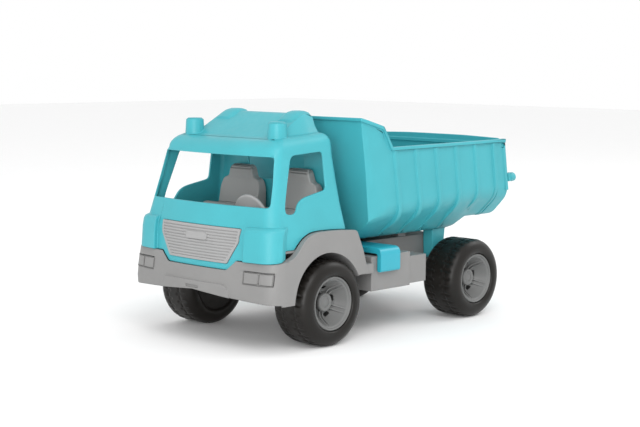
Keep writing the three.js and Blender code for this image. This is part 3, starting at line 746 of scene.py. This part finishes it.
def side_rib(x, side):
    """A rib that stands proud of the wall and keeps its line below the panels' knee, then turns in to the
    belly."""
    knee = 119 + 0.085 * (10.5 - x)
    proud = 1.7
    wall = BED_HALF_WIDTH
    belly = (62.6, BED_FLOOR_Z + 0.6) if x > -110 else (66.5 if x > -140 else 69.5, 105.6)
    path = rounded(
        [(wall - 6, RAIL_Z - 2), (wall + proud, RAIL_Z - 2), (wall + proud, knee), belly,
            (belly[0] - 1, belly[1] + 4)],
        [0, 0, 15, 5, 0], 8,
    )
    outer = path[1:-1]
    rings = []
    for k, point in enumerate(outer):
        share = k / (len(outer) - 1)
        inward = Vector((-1, 0.25)).normalized() * (5 + 12 * math.sin(math.pi * share) ** 0.7)
        inner = point + inward
        slim, wide = 2.6 + 0.5 * share, 3.6 + 0.8 * share
        rings.append([
            (x - wide, side * inner[0], inner[1]), (x - slim, side * point[0], point[1]),
            (x + slim, side * point[0], point[1]), (x + wide, side * inner[0], inner[1]),
        ])
    return loft(rings)


def bed_profile(drop=0.0):
    """Seen from the side, upright: headboard, wing down to the rail, rail to the rear."""
    return [
        (BED_REAR - 1, 70), (BED_FRONT + 5, 70), (BED_FRONT + 5, 224.4 - drop),
            (25.4 + drop * 0.4, 214.4 - drop),
        (14.6 + drop * 0.6, RAIL_Z - drop), (BED_REAR - 1, RAIL_Z + 1.6 - drop),
    ]


BED_PROFILE_RADII = [0, 0, 0, 2, 2, 0]


def dump_bed():
    outline = prism(bed_profile(), "y", -125, 125, BED_PROFILE_RADII)
    lip = common(bed_tub(-2.6, 230), copied(outline))
    lip = cut(lip, prism(bed_profile(3.6), "y", -130, 130, BED_PROFILE_RADII),
        box(-190, -179.6, -120, 120, 60, 240))
    body = common(bed_tub(0, 230), outline)
    ribs = [side_rib(x, side) for side in (1, -1) for x in RIB_STATIONS]
    body = join(body, lip, *ribs)
    rear_ledge = prism([(96.5, 136), (99.6, 136), (99.6, RAIL_Z - 2), (96.5, RAIL_Z - 2)], "x",
        BED_REAR + 0.3, BED_REAR + 5)
    body = join(body, copied(rear_ledge), mirrored_y(rear_ledge))
    body = cut(body, *both_sides(lambda side: front_facet(side, 0)))
    inside = cut(bed_tub(WALL, 240), *both_sides(lambda side: front_facet(side, WALL)))
    body = lean(cut(body, inside))
    leg = [(-124.3, 64), (-120.3, 61), (-111, 61), (-106.6, 64), (-105, 96.5), (-128, 96.5)]
    body = join(body, *both_sides(lambda side: prism(leg, "y", *span(side, 43.5, 57), [3, 3, 3, 3, 0, 0])))
    return cut(
        body,
        rod("y", (PIVOT_X, PIVOT_Z), 2.8, -60, 60, 32),
        rod("y", (-176.6, 186.6), 2.6, -110, 110, 32),
    )


def tailgate():
    half = 98.3 - WALL - 0.5
    knee = 128 + KNEE_RISE
    foot = 106 + WALL + 0.6
    outline = [
        (-half, 190), (-half, knee + 1), (-67.5, foot), (67.5, foot), (half, knee + 1), (half, 190),
        (half - 3, 194.6), (42, 196.3), (-42, 196.3), (-half + 3, 194.6),
    ]
    radii = [3, 9, 7, 7, 9, 3, 3, 20, 20, 3]
    panel = prism(outline, "x", BED_REAR + 0.4, BED_REAR + 3.4, radii)
    inner = [(y * 0.86, 156 + (z - 156) * 0.8) for y, z in outline]
    recess = prism(inner, "x", BED_REAR - 5, BED_REAR + 1.6, radii)
    panel = cut(panel, recess)
    ribs = [box(BED_REAR + 0.5, BED_REAR + 2.4, y - 2.2, y + 2.2, 122, 188) for y in (-50, -25, 0, 25, 50)]
    brow = box(BED_REAR + 0.6, BED_REAR + 5.4, -half + 1, half - 1, 186, 190)
    panel = join(panel, brow, *ribs)
    for side in (1, -1):
        tab = box(BED_REAR - 5, BED_REAR + 1, *span(side, 84, 100.5), 146, 155)
        knob = rod("x", (side * 97, 150.5), 5, BED_REAR - 12.2, BED_REAR - 4, 36)
        clear = box(BED_REAR - 0.4, BED_REAR + 2, *span(side, 95, 120), 100, 200)
        panel = join(panel, cut(join(tab, knob), clear))
    panel = lean(panel)
    pegs = both_sides(lambda side: rod("y", (-176.6, 186.6), 2.3, *span(side, 90, 98), 32))
    return join(panel, *pegs)


def tip_lever():
    inner, outer = 97.4, 103.2
    outline = [
        (-64.5, 84), (inner - 1, 84), (inner, 83), (inner, 66.5), (inner + 1.2, 65.5), (outer - 1, 65.5),
        (outer, 67.5), (outer, 90.4), (-64.5, 90.4),
    ]
    bar = prism(outline, "x", 3.2, 33.8, [0, 0, 0, 1, 1, 1, 1.5, 8, 0], 8)
    eye = rod("x", (-64.5, 87.6), 4.9, 3.2, 33.8, 40)
    ridge = prism([(22, 89), (26, 93.4), (44, 93.4), (48, 89)], "x", 8.2, 28.8, [0, 3, 3, 0])
    return cut(join(bar, eye, ridge), rod("x", (-64.5, 87.6), 2.3, -5, 44, 32))


# ---------- wheels ----------
LUGS = 30
TREAD_DEPTH = 1.0
TREAD_HALF_WIDTH = 15.0


def smooth_step(edge0, edge1, value):
    t = min(1.0, max(0.0, (value - edge0) / (edge1 - edge0)))
    return t * t * (3 - 2 * t)


def tread(angle, y, radius):
    """How far the tread lies below its blocks: slanted grooves between lugs and two grooves round the
    tyre."""
    offset = abs(y - TYRE_MIDDLE)
    if radius < 41.5:
        return 0.0
    side = 1 if y > TYRE_MIDDLE else -1
    phase = (angle / (2 * math.pi) * LUGS + side * 0.016 * offset + (0.5 if side < 0 else 0)) % 1.0
    between = 1 - smooth_step(0.10, 0.22, abs(phase - 0.5))
    reach = smooth_step(3.0, 6.0,
        offset) * (1 - smooth_step(TREAD_HALF_WIDTH, TREAD_HALF_WIDTH + 2.4, offset))
    ring = 1 - smooth_step(0.8, 1.8, abs(offset - 9.0))
    return TREAD_DEPTH * max(between * reach, ring * 0.7)


TYRE_MIDDLE = 84.9


def tyre_solid():
    """A fat tyre: flat tread, one rounded shoulder into a full side wall, and a bead tucked in at the rim."""
    half_outline = [(27.0, 20.4), (27.6, 21.8), (28.6, 22.8), (30.4, 23.4), (32.6, 23.5), (35, 23.1),
        (37.2, 22.2),
                    (39.2, 20.9), (40.9, 19.2), (42.1, 17.2), (42.8, 15.2), (43, 13.2)]
    outer_side = [(r, TYRE_MIDDLE + d) for r, d in half_outline]
    inner_side = [(r, TYRE_MIDDLE - d) for r, d in reversed(half_outline)]
    flat = [(43.0, TYRE_MIDDLE + 13.2 - 26.4 * k / 28) for k in range(1, 28)]
    inner_wall = [(25, 62.4), (9, 62.4), (9, 63.6), (24.9, 63.6)]
    profile = [(24.9, 102.5), (27.0, 102.5)] + outer_side + flat + inner_side + inner_wall
    return turned(profile, LUGS * 12, tread)


BOSS_FACE = 89.8
SPOKES = 5
SPOKE_START = math.radians(10)


def hub_solid(boss_start):
    """A deep dish: the boss lies well behind the rim, with paired ribs running up the cone between them."""
    profile = [
        (3.3, boss_start), (7.5, boss_start), (7.5, 86.4), (13.4, 86.4), (20.4, 98), (22, 98), (22, 64),
        (24.5, 64), (24.5, 102.7), (26.9, 102.7), (26.9, 105.4), (26.6, 106.0), (25.9, 106.4), (25.2, 106.2),
        (24.7, 105.5), (24.4, 104.6), (23.9, 104.2), (23.2, 104.0), (22.8, 103.5), (22.3, 102.4),
            (19.4, 96.4),
        (16.4, 91.4), (14.8, 89.4), (13.2, 88.6), (10.4, 88.6), (9.9, 89.2), (9.6, BOSS_FACE),
            (3.3, BOSS_FACE),
    ]
    hub = turned(profile, 96)
    slot_outline = arc(0, 0, 16.2, -12, 12, 6) + list(reversed(arc(0, 0, 13.2, -12, 12, 6)))
    for k in range(SPOKES):
        turn = Matrix.Rotation(2 * math.pi * k / SPOKES + SPOKE_START, 4, "Y")
        half_step = Matrix.Rotation(math.pi / SPOKES, 4, "Y")
        slot = prism(slot_outline, "y", 82, 101)
        hub = cut(hub, transformed(slot, turn @ half_step))
        for offset in (-2.1, 2.1):
            rib_outline = [(9.0, 87.6), (9.0, 91.4), (12.4, 91.5), (15.4, 93), (18.6, 98), (22.2, 103.4),
                           (22.6, 102.6), (14.4, 87.6)]
            rib = prism(rib_outline, "z", offset - 0.75, offset + 0.75, [0, 0, 2, 3, 4, 0, 0, 0])
            hub = join(hub, transformed(rib, turn))
    return hub


def hub_cap_solid():
    profile = [
        (0.01, BOSS_FACE + 4.6), (7.2, BOSS_FACE + 4.4), (7.2, BOSS_FACE + GAP), (9.4, BOSS_FACE + GAP),
        (9.4, BOSS_FACE + 4.2), (9.1, BOSS_FACE + 5.4), (8.3, BOSS_FACE + 6.1), (7.2, BOSS_FACE + 6.2),
        (6.4, BOSS_FACE + 5.6), (5.6, BOSS_FACE + 5.4), (4.8, BOSS_FACE + 5.8), (3.4, BOSS_FACE + 6.4),
        (1.6, BOSS_FACE + 6.6), (0.01, BOSS_FACE + 6.6),
    ]
    return turned(profile, 64)


# ---------- assembly ----------
finish(cab(), "cab", "truck_body", TURQUOISE, ["cab_shell"], edge=0.8)
finish(grille(), "radiator_grille", "truck_body", LIGHT_GREY, ["grille"], edge=0.25, segments=2)
finish(interior(), "seats_and_tray", "truck_body", SEAT_GREY, ["interior_tray"], edge=1.6)
finish(steering_wheel(), "steering_disc", "steering", LIGHT_GREY, ["steering_wheel"], edge=0)
finish(chassis(), "chassis_moulding", "truck_body", GREY, ["chassis"], edge=0.7)
finish(dump_bed(), "tipper_bed", "bed", TURQUOISE, ["dump_bed"], edge=0.8)
finish(tailgate(), "rear_gate", "tailgate", TURQUOISE, ["tailgate"], edge=0.6)
finish(tip_lever(), "lifting_lever", "lever", BRIGHT_BLUE, ["tip_lever"], edge=0.9)

tyre_master = tyre_solid()
cap_master = hub_cap_solid()
hub_masters = {"front": hub_solid(55.6), "rear": hub_solid(43.0)}
for end, axle_x in (("front", FRONT_AXLE_X), ("rear", REAR_AXLE_X)):
    for side, label in ((1, "left"), (-1, "right")):
        tag = f"{end}_{label}"
        place = Matrix.Translation((axle_x, 0, WHEEL_RADIUS)) @ Matrix.Diagonal((1, side, 1, 1))
        pieces = (
            (tyre_master, "tyre", TYRE, "tyre_black", 0),
            (hub_masters[end], "hub", HUB_GREY, "hub_grey", 0.3),
            (cap_master, "hub_cap", HUB_GREY, "hub_grey", 0),
        )
        for master, kind, material, slot, edge in pieces:
            piece = transformed(copied(master), place)
            finish(piece, f"{kind}_moulding_{tag}", f"wheel_{tag}", material, [f"{kind}_{tag}"], edge,
                2)
for master in (tyre_master, cap_master, *hub_masters.values()):
    bpy.data.objects.remove(master, do_unlink=True)

METAL_NODES = ["front_axle", "rear_axle", "lever_pin", "bed_pivot_rod"]
METAL_NODES += [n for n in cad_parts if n.startswith(("push_nut", "cab_screw"))]
for name in METAL_NODES + ["pivot_cap_left", "pivot_cap_right"]:
    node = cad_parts[name]
    node.data.materials.clear()
    node.data.materials.append(STEEL if name in METAL_NODES else GREY)
    edges = node.modifiers.new("rounded edges", "BEVEL")
    edges.width = 0.25 * MM
    edges.segments = 2
    edges.limit_method = "ANGLE"
    edges.angle_limit = math.radians(35)

# ---------- floor, light and camera ----------
floor_half = 6.0
floor_mesh = bpy.data.meshes.new("floor")
floor_corners = [(-floor_half, -floor_half, 0), (floor_half, -floor_half, 0), (floor_half, floor_half, 0),
    (-floor_half, floor_half, 0)]
floor_mesh.from_pydata(floor_corners, [], [(0, 1, 2, 3)])
floor = bpy.data.objects.new("floor", floor_mesh)
bpy.context.scene.collection.objects.link(floor)
floor.data.materials.append(new_material("pale floor", (0.93, 0.93, 0.93), 0.8, tone=0.005))

world = bpy.data.worlds.new("studio")
bpy.context.scene.world = world
world.use_nodes = True
sky = world.node_tree.nodes["Background"]
sky.inputs["Color"].default_value = (1, 1, 1, 1)
sky.inputs["Strength"].default_value = 1.0


def area_light(name, place, target, size, power):
    light = bpy.data.lights.new(name, "AREA")
    light.shape = "DISK"
    light.size = size
    light.energy = power
    lamp = bpy.data.objects.new(name, light)
    bpy.context.scene.collection.objects.link(lamp)
    lamp.location = place
    lamp.rotation_euler = (Vector(target) - Vector(place)).to_track_quat("-Z", "Y").to_euler()
    return lamp


area_light("key", (0.9, 1.4, 1.6), (0, 0, 0.1), 1.2, 13)
area_light("front fill", (1.9, 1.3, 0.55), (0, 0, 0.12), 1.1, 20)
area_light("rim", (-1.6, 0.7, 1.5), (0, 0, 0.1), 1.0, 8)

camera_data = bpy.data.cameras.new("camera")
camera_data.sensor_width = 36
camera_data.lens = 78.0
camera_data.clip_end = 50
camera = bpy.data.objects.new("camera", camera_data)
bpy.context.scene.collection.objects.link(camera)
azimuth, elevation, roll = math.radians(43.549), math.radians(6.371), math.radians(0.414)
back = Vector((
    math.cos(elevation) * math.cos(azimuth), math.cos(elevation) * math.sin(azimuth), math.sin(elevation)
))
right = Vector((0, 0, 1)).cross(back).normalized()
up = back.cross(right)
level_right = right * math.cos(roll) + up * math.sin(roll)
level_up = up * math.cos(roll) - right * math.sin(roll)
pose = Matrix((level_right, level_up, back)).transposed().to_4x4()
pose.translation = Vector((1.0902, 1.0209, 0.2819))
camera.matrix_world = pose
bpy.context.scene.camera = camera
bpy.context.scene.view_settings.view_transform = "Standard"
